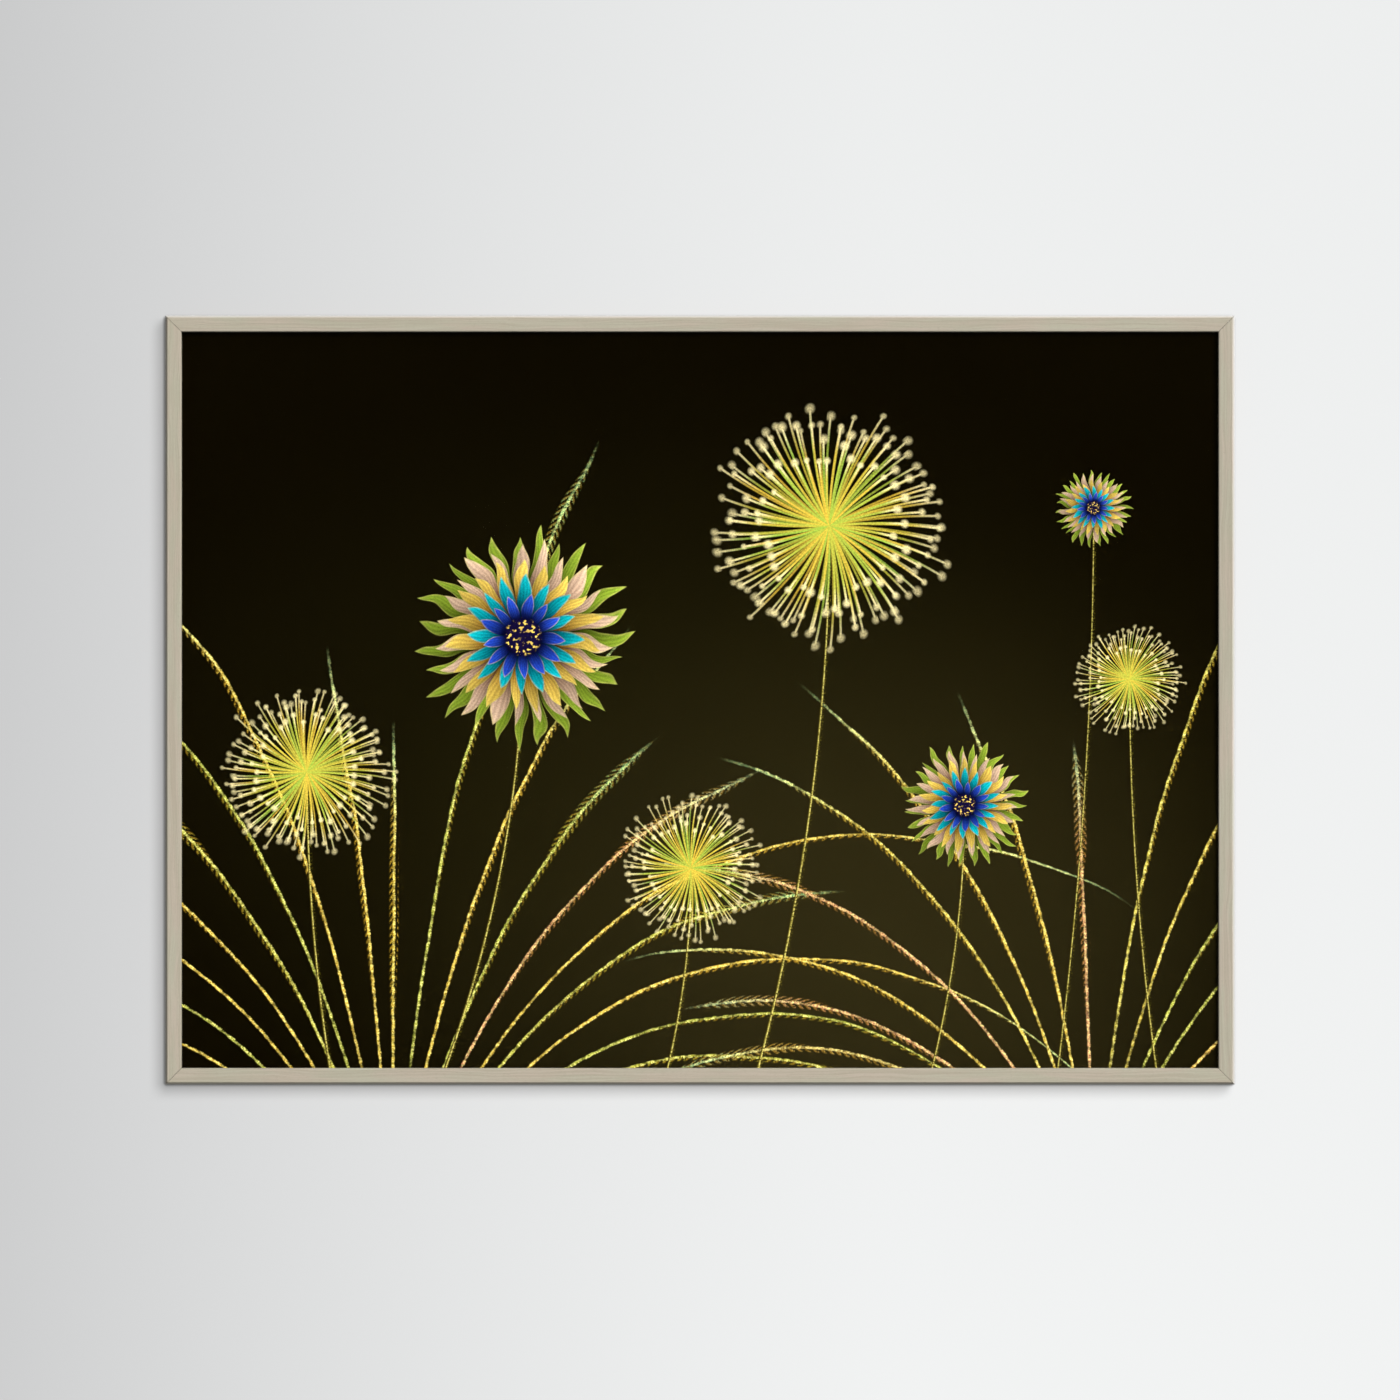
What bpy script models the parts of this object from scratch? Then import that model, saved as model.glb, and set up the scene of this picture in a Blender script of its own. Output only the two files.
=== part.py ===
"""Framed picture for a wall: a slim mitred wooden frame round a landscape print.

The frame is four lengths of one moulding. From the front, its rabbet holds a clear glazing sheet,
the print and a backing board. Steel tabs shot into the rabbet keep the board in, and the board
carries two toothed hangers, one for each way up.

Metres. +X is the viewer's right, +Y points at the wall and +Z is up. The origin is the middle notch
of the upper hanger, where the wall's nail bears.
"""

import math

import bmesh
import bpy
from mathutils import Matrix, Vector

# Sheets: glazing, print and backing board share one standard size.
SHEET_WIDTH = 0.700
SHEET_HEIGHT = 0.500
GLAZING_THICKNESS = 0.002
PRINT_THICKNESS = 0.0003
BOARD_THICKNESS = 0.003
EDGE_CLEARANCE = 0.0005

# Moulding: an L seen from its end. Its face shows, its lip covers the sheets' edges, and a steep bevel
# runs along its outer edge.
FACE_WIDTH = 0.011
MOULDING_DEPTH = 0.020
LIP_WIDTH = 0.0055
LIP_THICKNESS = 0.004
BEVEL_WIDTH = 0.0016
BEVEL_EASING = 0.3  # the share of the bevel that is rounded off at each of its edges
SIGHT_ARRIS = 0.0008
STEEPNESS = 2.0  # the bevel and the sight arris are this much deeper than they are wide
BACK_EASING = 0.0004
ARRIS_STEPS = 8
EASING_STEPS = 3
SHARP_ANGLE = math.radians(40)

# Neighbouring solids stand this far apart, at the mitres too.
GAP = 0.0003

# Retaining tabs: flat steel points, driven into the rabbet's wall and lying on the board.
TAB_WIDTH = 0.006
TAB_THICKNESS = 0.0006
TAB_REACH = 0.009
TAB_BITE = 0.003
TAB_SHOULDER = 0.001
TABS_ON_LONG_SIDE = 4
TABS_ON_SHORT_SIDE = 3

# Hangers: a pressed strip whose raised middle has a toothed lower edge.
HANGER_LENGTH = 0.046
HANGER_HEIGHT = 0.012
HANGER_THICKNESS = 0.001
HANGER_MIDDLE = 0.024
HANGER_RAMP = 0.0025
HANGER_RISE = 0.003
HANGER_INSET = 0.030
NOTCH_COUNT = 9
NOTCH_PITCH = 0.0024
NOTCH_DEPTH = 0.0018
TOOTH_LAND = 0.0002

# Rivets: a domed head on the hanger, a shank through the board, and a flat tail let into its front.
RIVET_SHANK_RADIUS = 0.0015
RIVET_HEAD_RADIUS = 0.0032
RIVET_HEAD_HEIGHT = 0.0014
RIVET_TAIL_RADIUS = 0.0030
RIVET_TAIL_THICKNESS = 0.0006
RIVET_FROM_END = 0.0045
RIVET_STEPS = 24

# Worked out from the sizes above. Depths are measured back from the frame's front face.
WALL_WIDTH = FACE_WIDTH - LIP_WIDTH
OUTER_WIDTH = SHEET_WIDTH + 2 * (EDGE_CLEARANCE + WALL_WIDTH)
OUTER_HEIGHT = SHEET_HEIGHT + 2 * (EDGE_CLEARANCE + WALL_WIDTH)
GLAZING_FRONT = LIP_THICKNESS + GAP
PRINT_FRONT = GLAZING_FRONT + GLAZING_THICKNESS + GAP
BOARD_FRONT = PRINT_FRONT + PRINT_THICKNESS + GAP
BOARD_BACK = BOARD_FRONT + BOARD_THICKNESS
TAB_MIDDLE = BOARD_BACK + GAP + TAB_THICKNESS / 2
HANGER_BASE = BOARD_BACK + GAP
NOTCH_FROM_FRONT = HANGER_BASE + HANGER_RISE + HANGER_THICKNESS / 2
PICTURE_CENTRE = Vector((0, -NOTCH_FROM_FRONT, HANGER_INSET - SHEET_HEIGHT / 2))

# Each side of the frame is modelled as the top one and turned about the picture's centre.
SIDES = {"top": 0, "right": 90, "bottom": 180, "left": 270}
LONG_SIDES = ("top", "bottom")
HANGING = {"landscape": "top", "portrait": "left"}

# Where an outline's own X, Y and thickness go on the top side: X runs along it, Y is depth and Z
# points out from the picture's centre.
ALONG_THE_SIDE = Matrix(((0, 0, 1), (1, 0, 0), (0, 1, 0))).to_4x4()
FLAT_ON_THE_BOARD = Matrix(((1, 0, 0), (0, 0, -1), (0, 1, 0))).to_4x4()
SEEN_FROM_ABOVE = Matrix.Identity(4)


def clear_scene():
    for obj in list(bpy.data.objects):
        bpy.data.objects.remove(obj)


def new_collection(name):
    collection = bpy.data.collections.new(name)
    bpy.context.scene.collection.children.link(collection)
    return collection


def new_material(name, colour, roughness, metallic=0.0, alpha=1.0):
    material = bpy.data.materials.new(name)
    material.use_nodes = True
    shader = material.node_tree.nodes["Principled BSDF"]
    shader.inputs["Base Color"].default_value = (*colour, 1)
    shader.inputs["Roughness"].default_value = roughness
    shader.inputs["Metallic"].default_value = metallic
    shader.inputs["Alpha"].default_value = alpha
    material.diffuse_color = (*colour, alpha)
    return material


def new_empty(name, location, turn, collection, parent=None):
    empty = bpy.data.objects.new(name, None)
    empty.empty_display_size = 0.02
    empty.location = location
    empty.rotation_euler = (0, math.radians(turn), 0)
    empty.parent = parent
    collection.objects.link(empty)
    return empty


def new_object(name, mesh, collection, parent, location=(0, 0, 0)):
    obj = bpy.data.objects.new(name, mesh)
    obj.location = location
    obj.parent = parent
    collection.objects.link(obj)
    return obj


def arc(centre, radii, start, end, steps):
    """Points of a round or elliptical stretch of an outline, between two angles in degrees."""
    angles = [math.radians(start + (end - start) * i / steps) for i in range(steps + 1)]
    return [(centre[0] + radii[0] * math.cos(a), centre[1] + radii[1] * math.sin(a)) for a in angles]


def between(start, end, share):
    """The point that lies this share of the way from one point to another."""
    return tuple(a + (b - a) * share for a, b in zip(start, end))


def eased_corner(before, corner, after, steps):
    """Points of a smooth curve that takes an outline's corner off, from just before it to just after."""
    points = []
    for step in range(steps + 1):
        share = step / steps
        arriving = between(before, corner, share)
        leaving = between(corner, after, share)
        points.append(between(arriving, leaving, share))
    return points


def shade_round_stretches(mesh):
    mesh.shade_smooth()
    mesh.set_sharp_from_angle(angle=SHARP_ANGLE)


def outline_mesh(name, outline, thickness, lie):
    """A closed mesh of this thickness from a flat outline, laid as the matrix lie says."""
    curve = bpy.data.curves.new(name, "CURVE")
    curve.dimensions = "2D"
    curve.fill_mode = "BOTH"
    curve.extrude = thickness / 2
    spline = curve.splines.new("POLY")
    spline.points.add(len(outline) - 1)
    for point, (x, y) in zip(spline.points, outline):
        point.co = (x, y, 0, 1)
    spline.use_cyclic_u = True
    guide = bpy.data.objects.new(name + "_guide", curve)
    bpy.context.scene.collection.objects.link(guide)
    graph = bpy.context.evaluated_depsgraph_get()
    mesh = bpy.data.meshes.new_from_object(guide.evaluated_get(graph))
    bpy.data.objects.remove(guide)
    bpy.data.curves.remove(curve)
    mesh.name = name
    mesh.materials.clear()
    shape = bmesh.new()
    shape.from_mesh(mesh)
    bmesh.ops.remove_doubles(shape, verts=shape.verts, dist=1e-6)
    bmesh.ops.transform(shape, matrix=lie, verts=shape.verts)
    bmesh.ops.recalc_face_normals(shape, faces=shape.faces)
    shape.to_mesh(mesh)
    shape.free()
    shade_round_stretches(mesh)
    return mesh


def box_mesh(name, size, centre=(0, 0, 0)):
    mesh = bpy.data.meshes.new(name)
    shape = bmesh.new()
    place = Matrix.Translation(centre) @ Matrix.Diagonal((*size, 1))
    bmesh.ops.create_cube(shape, size=1, matrix=place)
    shape.to_mesh(mesh)
    shape.free()
    return mesh


def cut(obj, cutter):
    """Cuts the helper out of the object, and keeps it out of renders."""
    cutter.hide_render = True
    cutter.display_type = "WIRE"
    boolean = obj.modifiers.new("cut " + cutter.name, "BOOLEAN")
    boolean.operation = "DIFFERENCE"
    boolean.solver = "EXACT"
    boolean.object = cutter


def round_cutter(name, radius, start, end, cutters, parent, location):
    """A cylinder between two depths, for a hole through the hanger or the board."""
    mesh = bpy.data.meshes.new(name)
    shape = bmesh.new()
    place = Matrix.Translation((0, (start + end) / 2, 0)) @ Matrix.Rotation(math.radians(90), 4, "X")
    bmesh.ops.create_cone(
        shape,
        cap_ends=True,
        segments=RIVET_STEPS,
        radius1=radius,
        radius2=radius,
        depth=end - start,
        matrix=place,
    )
    shape.to_mesh(mesh)
    shape.free()
    return new_object(name, mesh, cutters, parent, location)


def side_lengths(side):
    """The frame's outer length along this side, and its outer size across it."""
    return (OUTER_WIDTH, OUTER_HEIGHT) if side in LONG_SIDES else (OUTER_HEIGHT, OUTER_WIDTH)


def moulding_outline(outer):
    """The moulding's section as (depth, distance from the picture's centre) points."""
    sight = outer - FACE_WIDTH
    wall = outer - WALL_WIDTH
    back = MOULDING_DEPTH - BACK_EASING
    side_edge = (STEEPNESS * BEVEL_WIDTH, outer)
    face_edge = (0, outer - BEVEL_WIDTH)
    on_side = (side_edge[0] * (1 + BEVEL_EASING), outer)
    on_face = (0, face_edge[1] - BEVEL_WIDTH * BEVEL_EASING)
    bevel_start = between(side_edge, face_edge, BEVEL_EASING)
    bevel_end = between(side_edge, face_edge, 1 - BEVEL_EASING)
    sight_round = (STEEPNESS * SIGHT_ARRIS, SIGHT_ARRIS)
    return [
        *eased_corner(on_side, side_edge, bevel_start, EASING_STEPS),
        *eased_corner(bevel_end, face_edge, on_face, EASING_STEPS),
        *arc((sight_round[0], sight + SIGHT_ARRIS), sight_round, 180, 270, ARRIS_STEPS),
        (LIP_THICKNESS, sight),
        (LIP_THICKNESS, wall),
        (back, wall),
        (MOULDING_DEPTH, wall + BACK_EASING),
        (MOULDING_DEPTH, outer - BACK_EASING),
        (back, outer),
    ]


def mitre(mesh, length, across):
    """Cuts both ends at 45 degrees, each half the gap short of the corner's diagonal."""
    shape = bmesh.new()
    shape.from_mesh(mesh)
    for end in (-1, 1):
        normal = Vector((end, 0, -1)).normalized()
        corner = Vector((end * length / 2, 0, across / 2))
        found = bmesh.ops.bisect_plane(
            shape,
            geom=[*shape.verts, *shape.edges, *shape.faces],
            plane_co=corner - normal * GAP / 2,
            plane_no=normal,
            clear_outer=True,
        )
        rim = [item for item in found["geom_cut"] if isinstance(item, bmesh.types.BMEdge)]
        bmesh.ops.edgeloop_fill(shape, edges=rim)
    bmesh.ops.recalc_face_normals(shape, faces=shape.faces)
    shape.to_mesh(mesh)
    shape.free()
    shade_round_stretches(mesh)


def make_rail(side, parts, parent, wood):
    length, across = side_lengths(side)
    name = "rail_" + side
    mesh = outline_mesh(name, moulding_outline(across / 2), 1.1 * length, ALONG_THE_SIDE)
    mitre(mesh, length, across)
    mesh.materials.append(wood)
    return new_object(name, mesh, parts, parent)


def tab_outline():
    """A tab as (along, outwards) points, with its tip in the wood and a round end on the board."""
    half = TAB_WIDTH / 2
    return [
        (0, TAB_BITE),
        (-half, TAB_SHOULDER),
        *arc((0, half - TAB_REACH), (half, half), 180, 360, 2 * ARRIS_STEPS),
        (half, TAB_SHOULDER),
    ]


def make_tabs(side, rail, parts, cutters, parent, steel):
    """A row of tabs along one side, each with its slot cut in the rail."""
    count = TABS_ON_LONG_SIDE if side in LONG_SIDES else TABS_ON_SHORT_SIDE
    length, across = side_lengths(side)
    rabbet_wall = across / 2 - WALL_WIDTH
    slot_size = (TAB_WIDTH + 2 * GAP, TAB_THICKNESS + 2 * GAP, 2 * (TAB_BITE + GAP))
    tab_mesh = outline_mesh("tab_" + side, tab_outline(), TAB_THICKNESS, FLAT_ON_THE_BOARD)
    tab_mesh.materials.append(steel)
    slot_mesh = box_mesh("tab_slot_" + side, slot_size)
    for number in range(count):
        along = length * ((number + 0.5) / count - 0.5)
        place = (along, TAB_MIDDLE, rabbet_wall)
        new_object(f"tab_{side}_{number + 1}", tab_mesh, parts, parent, place)
        slot = new_object(f"tab_slot_{side}_{number + 1}", slot_mesh, cutters, parent, place)
        cut(rail, slot)


def make_sheet(name, thickness, front, parts, parent, material):
    mesh = box_mesh(name, (SHEET_WIDTH, thickness, SHEET_HEIGHT))
    mesh.materials.append(material)
    return new_object(name, mesh, parts, parent, (0, front + thickness / 2, 0))


def hanger_outline():
    """The strip from above, as (along, depth) points: flat ends and a raised middle."""
    half, middle = HANGER_LENGTH / 2, HANGER_MIDDLE / 2
    ramp = middle + HANGER_RAMP
    board_side = [(-half, 0), (-ramp, 0), (-middle, HANGER_RISE)]
    board_side += [(-x, depth) for x, depth in reversed(board_side)]
    wall_side = [(x, depth + HANGER_THICKNESS) for x, depth in reversed(board_side)]
    return board_side + wall_side


def teeth_outline():
    """The comb that cuts the notches, as (along, outwards) points: a zigzag with its peaks at 0."""
    reach = NOTCH_COUNT * NOTCH_PITCH / 2
    valley = -NOTCH_DEPTH * NOTCH_PITCH / (NOTCH_PITCH - TOOTH_LAND)
    zigzag = [(i * NOTCH_PITCH / 2 - reach, valley * (1 - i % 2)) for i in range(2 * NOTCH_COUNT + 1)]
    return [*zigzag, (reach, 2 * valley), (-reach, 2 * valley)]


def rivet_mesh(steel):
    """Half the rivet's section, from its head at the wall side down to its tail."""
    head_base = HANGER_BASE + HANGER_THICKNESS + GAP
    tail_base = BOARD_FRONT + GAP
    dome_radius = (RIVET_HEAD_RADIUS**2 + RIVET_HEAD_HEIGHT**2) / (2 * RIVET_HEAD_HEIGHT)
    dome_centre = head_base + RIVET_HEAD_HEIGHT - dome_radius
    rim = math.degrees(math.acos(RIVET_HEAD_RADIUS / dome_radius))
    profile = arc((0, dome_centre), (dome_radius, dome_radius), 90, rim, ARRIS_STEPS)
    profile += [
        (RIVET_SHANK_RADIUS, head_base),
        (RIVET_SHANK_RADIUS, tail_base + RIVET_TAIL_THICKNESS),
        (RIVET_TAIL_RADIUS, tail_base + RIVET_TAIL_THICKNESS),
        (RIVET_TAIL_RADIUS, tail_base),
        (0, tail_base),
    ]
    mesh = bpy.data.meshes.new("rivet")
    shape = bmesh.new()
    points = [shape.verts.new((radius, 0, height)) for radius, height in profile]
    for first, second in zip(points, points[1:]):
        shape.edges.new((first, second))
    shape.to_mesh(mesh)
    shape.free()
    mesh.materials.append(steel)
    return mesh


def make_rivet(name, mesh, parts, parent, location):
    rivet = new_object(name, mesh, parts, parent, location)
    rivet.rotation_euler = (math.radians(-90), 0, 0)
    screw = rivet.modifiers.new("turn", "SCREW")
    screw.axis = "Z"
    screw.steps = screw.render_steps = RIVET_STEPS
    screw.use_merge_vertices = True
    screw.merge_threshold = 1e-6
    return rivet


def make_hanger(way_up, board, parts, cutters, parent, across, steel, rivet):
    """A hanger near one edge of the board, its rivets, and their holes through strip and board."""
    notch = across / 2 - EDGE_CLEARANCE - WALL_WIDTH - HANGER_INSET
    strip_middle = notch - NOTCH_DEPTH + HANGER_HEIGHT / 2
    name = "hanger_" + way_up
    mesh = outline_mesh(name, hanger_outline(), HANGER_HEIGHT, SEEN_FROM_ABOVE)
    mesh.materials.append(steel)
    strip = new_object(name, mesh, parts, parent, (0, HANGER_BASE, strip_middle))
    comb_mesh = outline_mesh("teeth_" + way_up, teeth_outline(), MOULDING_DEPTH, FLAT_ON_THE_BOARD)
    comb = new_object("teeth_" + way_up, comb_mesh, cutters, parent, (0, HANGER_BASE, notch))
    cut(strip, comb)
    hole_radius = RIVET_SHANK_RADIUS + GAP
    tail_pocket_back = BOARD_FRONT + RIVET_TAIL_THICKNESS + 2 * GAP
    for end, label in ((-1, "a"), (1, "b")):
        place = (end * (HANGER_LENGTH / 2 - RIVET_FROM_END), 0, strip_middle)
        tag = f"{way_up}_{label}"
        make_rivet("rivet_" + tag, rivet, parts, parent, place)
        hole = round_cutter("hole_" + tag, hole_radius, 0, MOULDING_DEPTH, cutters, parent, place)
        cut(strip, hole)
        cut(board, hole)
        pocket = round_cutter(
            "pocket_" + tag,
            RIVET_TAIL_RADIUS + GAP,
            0,
            tail_pocket_back,
            cutters,
            parent,
            place,
        )
        cut(board, pocket)


def make_picture():
    clear_scene()
    parts = new_collection("framed_picture")
    cutters = new_collection("cutters")
    centre = new_empty("picture_centre", PICTURE_CENTRE, 0, parts)
    wood = new_material("greyed_oak", (0.50, 0.45, 0.35), 0.55)
    glass = new_material("clear_glass", (1, 1, 1), 0.02, alpha=0.1)
    ink = new_material("dark_print", (0.02, 0.016, 0.006), 0.35)
    hardboard = new_material("brown_hardboard", (0.30, 0.17, 0.08), 0.75)
    steel = new_material("zinc_plated_steel", (0.60, 0.60, 0.58), 0.35, metallic=1.0)

    make_sheet("glazing", GLAZING_THICKNESS, GLAZING_FRONT, parts, centre, glass)
    make_sheet("print_sheet", PRINT_THICKNESS, PRINT_FRONT, parts, centre, ink)
    board = make_sheet("backing_board", BOARD_THICKNESS, BOARD_FRONT, parts, centre, hardboard)

    side_empties = {}
    for side, turn in SIDES.items():
        side_empties[side] = new_empty("side_" + side, (0, 0, 0), turn, parts, centre)
        rail = make_rail(side, parts, side_empties[side], wood)
        make_tabs(side, rail, parts, cutters, side_empties[side], steel)

    rivet = rivet_mesh(steel)
    for way_up, side in HANGING.items():
        across = side_lengths(side)[1]
        make_hanger(way_up, board, parts, cutters, side_empties[side], across, steel, rivet)


make_picture()
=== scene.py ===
"""Looks of a framed picture: a slim greyed-oak frame, its glass, its print and its back.

Metres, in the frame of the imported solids: +X is the viewer's right, +Y points at the wall and
+Z is up.
"""

import math

import bmesh
import bpy
from mathutils import Matrix, Vector


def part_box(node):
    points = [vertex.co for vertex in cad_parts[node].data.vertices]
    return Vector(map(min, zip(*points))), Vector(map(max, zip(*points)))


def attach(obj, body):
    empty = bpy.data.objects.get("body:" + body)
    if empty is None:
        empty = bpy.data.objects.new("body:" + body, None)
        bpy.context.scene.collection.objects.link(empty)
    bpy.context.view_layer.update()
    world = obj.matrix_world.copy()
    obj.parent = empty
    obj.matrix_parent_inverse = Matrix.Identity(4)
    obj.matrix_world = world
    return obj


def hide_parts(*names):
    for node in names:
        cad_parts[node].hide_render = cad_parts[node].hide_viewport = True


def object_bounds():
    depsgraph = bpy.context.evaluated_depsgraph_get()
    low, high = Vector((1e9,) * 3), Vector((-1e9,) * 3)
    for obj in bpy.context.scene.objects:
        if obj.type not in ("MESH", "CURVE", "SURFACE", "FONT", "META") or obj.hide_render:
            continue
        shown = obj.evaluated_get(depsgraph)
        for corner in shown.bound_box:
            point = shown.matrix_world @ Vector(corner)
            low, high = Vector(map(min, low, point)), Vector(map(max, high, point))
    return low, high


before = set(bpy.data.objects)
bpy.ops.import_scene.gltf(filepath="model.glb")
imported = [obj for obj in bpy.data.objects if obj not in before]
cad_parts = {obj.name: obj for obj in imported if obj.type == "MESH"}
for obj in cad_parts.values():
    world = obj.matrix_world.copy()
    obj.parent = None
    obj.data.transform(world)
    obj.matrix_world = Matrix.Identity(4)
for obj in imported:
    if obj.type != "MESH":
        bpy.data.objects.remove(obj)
cad_low, cad_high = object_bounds()
middle = (cad_low + cad_high) / 2


# ---- The moulding ----------------------------------------------------------------------------
# Four lengths of one oak moulding, an L seen from its end, with eased arrises and a lip that laps
# over the glass. They are cut at 45 degrees and glued, so each corner shows a hairline, and the
# steel tabs sit in slots in the rabbet's wall. The oak is straight-grained, oiled and greyed.

FACE_WIDTH = 0.011  # with the bevel
LIP_THICKNESS = 0.004
WALL_THICKNESS = 0.0055  # of the wood beside the rabbet
BEVEL = 0.0016
STEEPNESS = 2.0  # the bevel and the sight arris are this much deeper than they are wide
FACE_EASING = 0.0003  # between the bevel and the face
SIDE_EASING = 0.0003  # between the bevel and the rail's outer side
SIGHT_ARRIS = 0.0008
BACK_EASING = 0.0004
HAIRLINE = 0.00023  # the gap in a mitre
SLOT_CLEARANCE = 0.0003
OVERLENGTH = 0.05  # the share by which a length is too long at each end, until it is mitred
OFFCUT = 1.7  # the next length starts this far along the board that they were all cut from
SAME_PLACE = 1e-6  # two points nearer to each other than this are one
SHARP_FROM = math.radians(40)
LEVEL_FROM = 0.9999  # a face is level if its normal has at least this cosine to a direction
END_FROM = 0.5  # the ends of rails and of slots face along the rail by more than this
MM = 1000.0

sides = {"top": 0, "right": 90, "bottom": 180, "left": 270}  # each rail's turn from the top one
depth = cad_high.y - cad_low.y


class Wire:
    """One socket of a finish. Arithmetic on it adds Math nodes."""

    def __init__(self, finish, socket):
        self.finish = finish
        self.socket = socket

    def math(self, operation, *operands):
        return self.finish.node("Math", {"operation": operation}, dict(enumerate(operands)))

    def __add__(self, other):
        return self.math("ADD", self, other)

    def __radd__(self, other):
        return self.math("ADD", other, self)

    def __sub__(self, other):
        return self.math("SUBTRACT", self, other)

    def __rsub__(self, other):
        return self.math("SUBTRACT", other, self)

    def __mul__(self, other):
        return self.math("MULTIPLY", self, other)

    def __rmul__(self, other):
        return self.math("MULTIPLY", other, self)

    def __truediv__(self, other):
        return self.math("DIVIDE", self, other)

    def __rtruediv__(self, other):
        return self.math("DIVIDE", other, self)

    def __pow__(self, other):
        return self.math("POWER", self, other)

    def __lt__(self, other):
        return self.math("LESS_THAN", self, other)

    def __gt__(self, other):
        return self.math("GREATER_THAN", self, other)

    def __abs__(self):
        return self.math("ABSOLUTE", self)

    def floor(self):
        return self.math("FLOOR", self)

    def fract(self):
        return self.math("FRACT", self)

    def sine(self):
        return self.math("SINE", self)

    def least(self, other):
        return self.math("MINIMUM", self, other)

    def most(self, other):
        return self.math("MAXIMUM", self, other)

    def step(self, low, high):
        """0 below low, 1 above high, and a smooth slope between them. low may be the higher."""
        sockets = {"Value": self, "From Min": low, "From Max": high}
        return self.finish.node("MapRange", {"interpolation_type": "SMOOTHSTEP"}, sockets)


class Finish:
    """A material being made, with its Principled shader."""

    def __init__(self, name):
        self.material = bpy.data.materials.new(name)
        self.material.use_nodes = True
        self.tree = self.material.node_tree
        self.shader = self.tree.nodes["Principled BSDF"]

    def node(self, kind, settings=None, sockets=None, out=0):
        """Adds a node, with its settings first and its sockets after them, and gives one output."""
        made = self.tree.nodes.new("ShaderNode" + kind)
        for name, value in (settings or {}).items():
            setattr(made, name, value)
        self.fill(made, sockets or {})
        return Wire(self, made.outputs[out])

    def fill(self, made, sockets):
        """Links a node's sockets, or gives them their values."""
        for key, value in sockets.items():
            if isinstance(value, Wire):
                self.tree.links.new(value.socket, made.inputs[key])
            else:
                made.inputs[key].default_value = value

    def surface(self, sockets):
        self.fill(self.shader, sockets)

    def split(self, vector):
        """The three parts of a vector, or of a noise's colour."""
        parts = self.node("SeparateXYZ", {}, {0: vector}).socket.node
        return [Wire(self, output) for output in parts.outputs]

    def joined(self, x, y, z):
        return self.node("CombineXYZ", {}, {"X": x, "Y": y, "Z": z})

    def stretched(self, vector, factors):
        return self.node("VectorMath", {"operation": "MULTIPLY"}, {0: vector, 1: factors})

    # A Mix node has sockets of one name for each kind of value, so here they go by number.

    def chosen(self, mask, under, over):
        """One vector, or the other where the mask says so."""
        return self.node("Mix", {"data_type": "VECTOR"}, {0: mask, 4: under, 5: over}, out=1)

    def noise(self, vector, scale, detail=2.0, roughness=0.5):
        sockets = {"Vector": vector, "Scale": scale, "Detail": detail, "Roughness": roughness}
        return self.node("TexNoise", {}, sockets)

    def mix(self, factor, under, over):
        """One colour, with the other laid over it by a factor."""
        return self.node("Mix", {"data_type": "RGBA"}, {0: factor, 6: under, 7: over}, out=2)

    def tint(self, colour, value):
        """The colour made darker or lighter by a value."""
        return self.node("VectorMath", {"operation": "SCALE"}, {"Vector": colour, "Scale": value})

    def bump(self, height, strength, distance):
        sockets = {"Height": height, "Strength": strength, "Distance": distance}
        self.surface({"Normal": self.node("Bump", {}, sockets)})


def srgb(*shown):
    """A colour as a screen shows it, 0 to 255, made linear."""
    return (*[((c / 255 + 0.055) / 1.055) ** 2.4 if c > 10 else c / 3295 for c in shown], 1)


OAK_PINK = srgb(209, 196, 177)
OAK_GREEN = srgb(203, 198, 176)
OAK_DARK = srgb(181, 171, 148)
OAK_PALE = srgb(230, 226, 214)
OAK_PORE = srgb(140, 126, 102)
RING_SHOW = 0.42  # how strongly each mark of the grain shows
STREAK_SHOW = 0.42
FLECK_SHOW = 0.22
PORE_SHOW = 0.42


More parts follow.
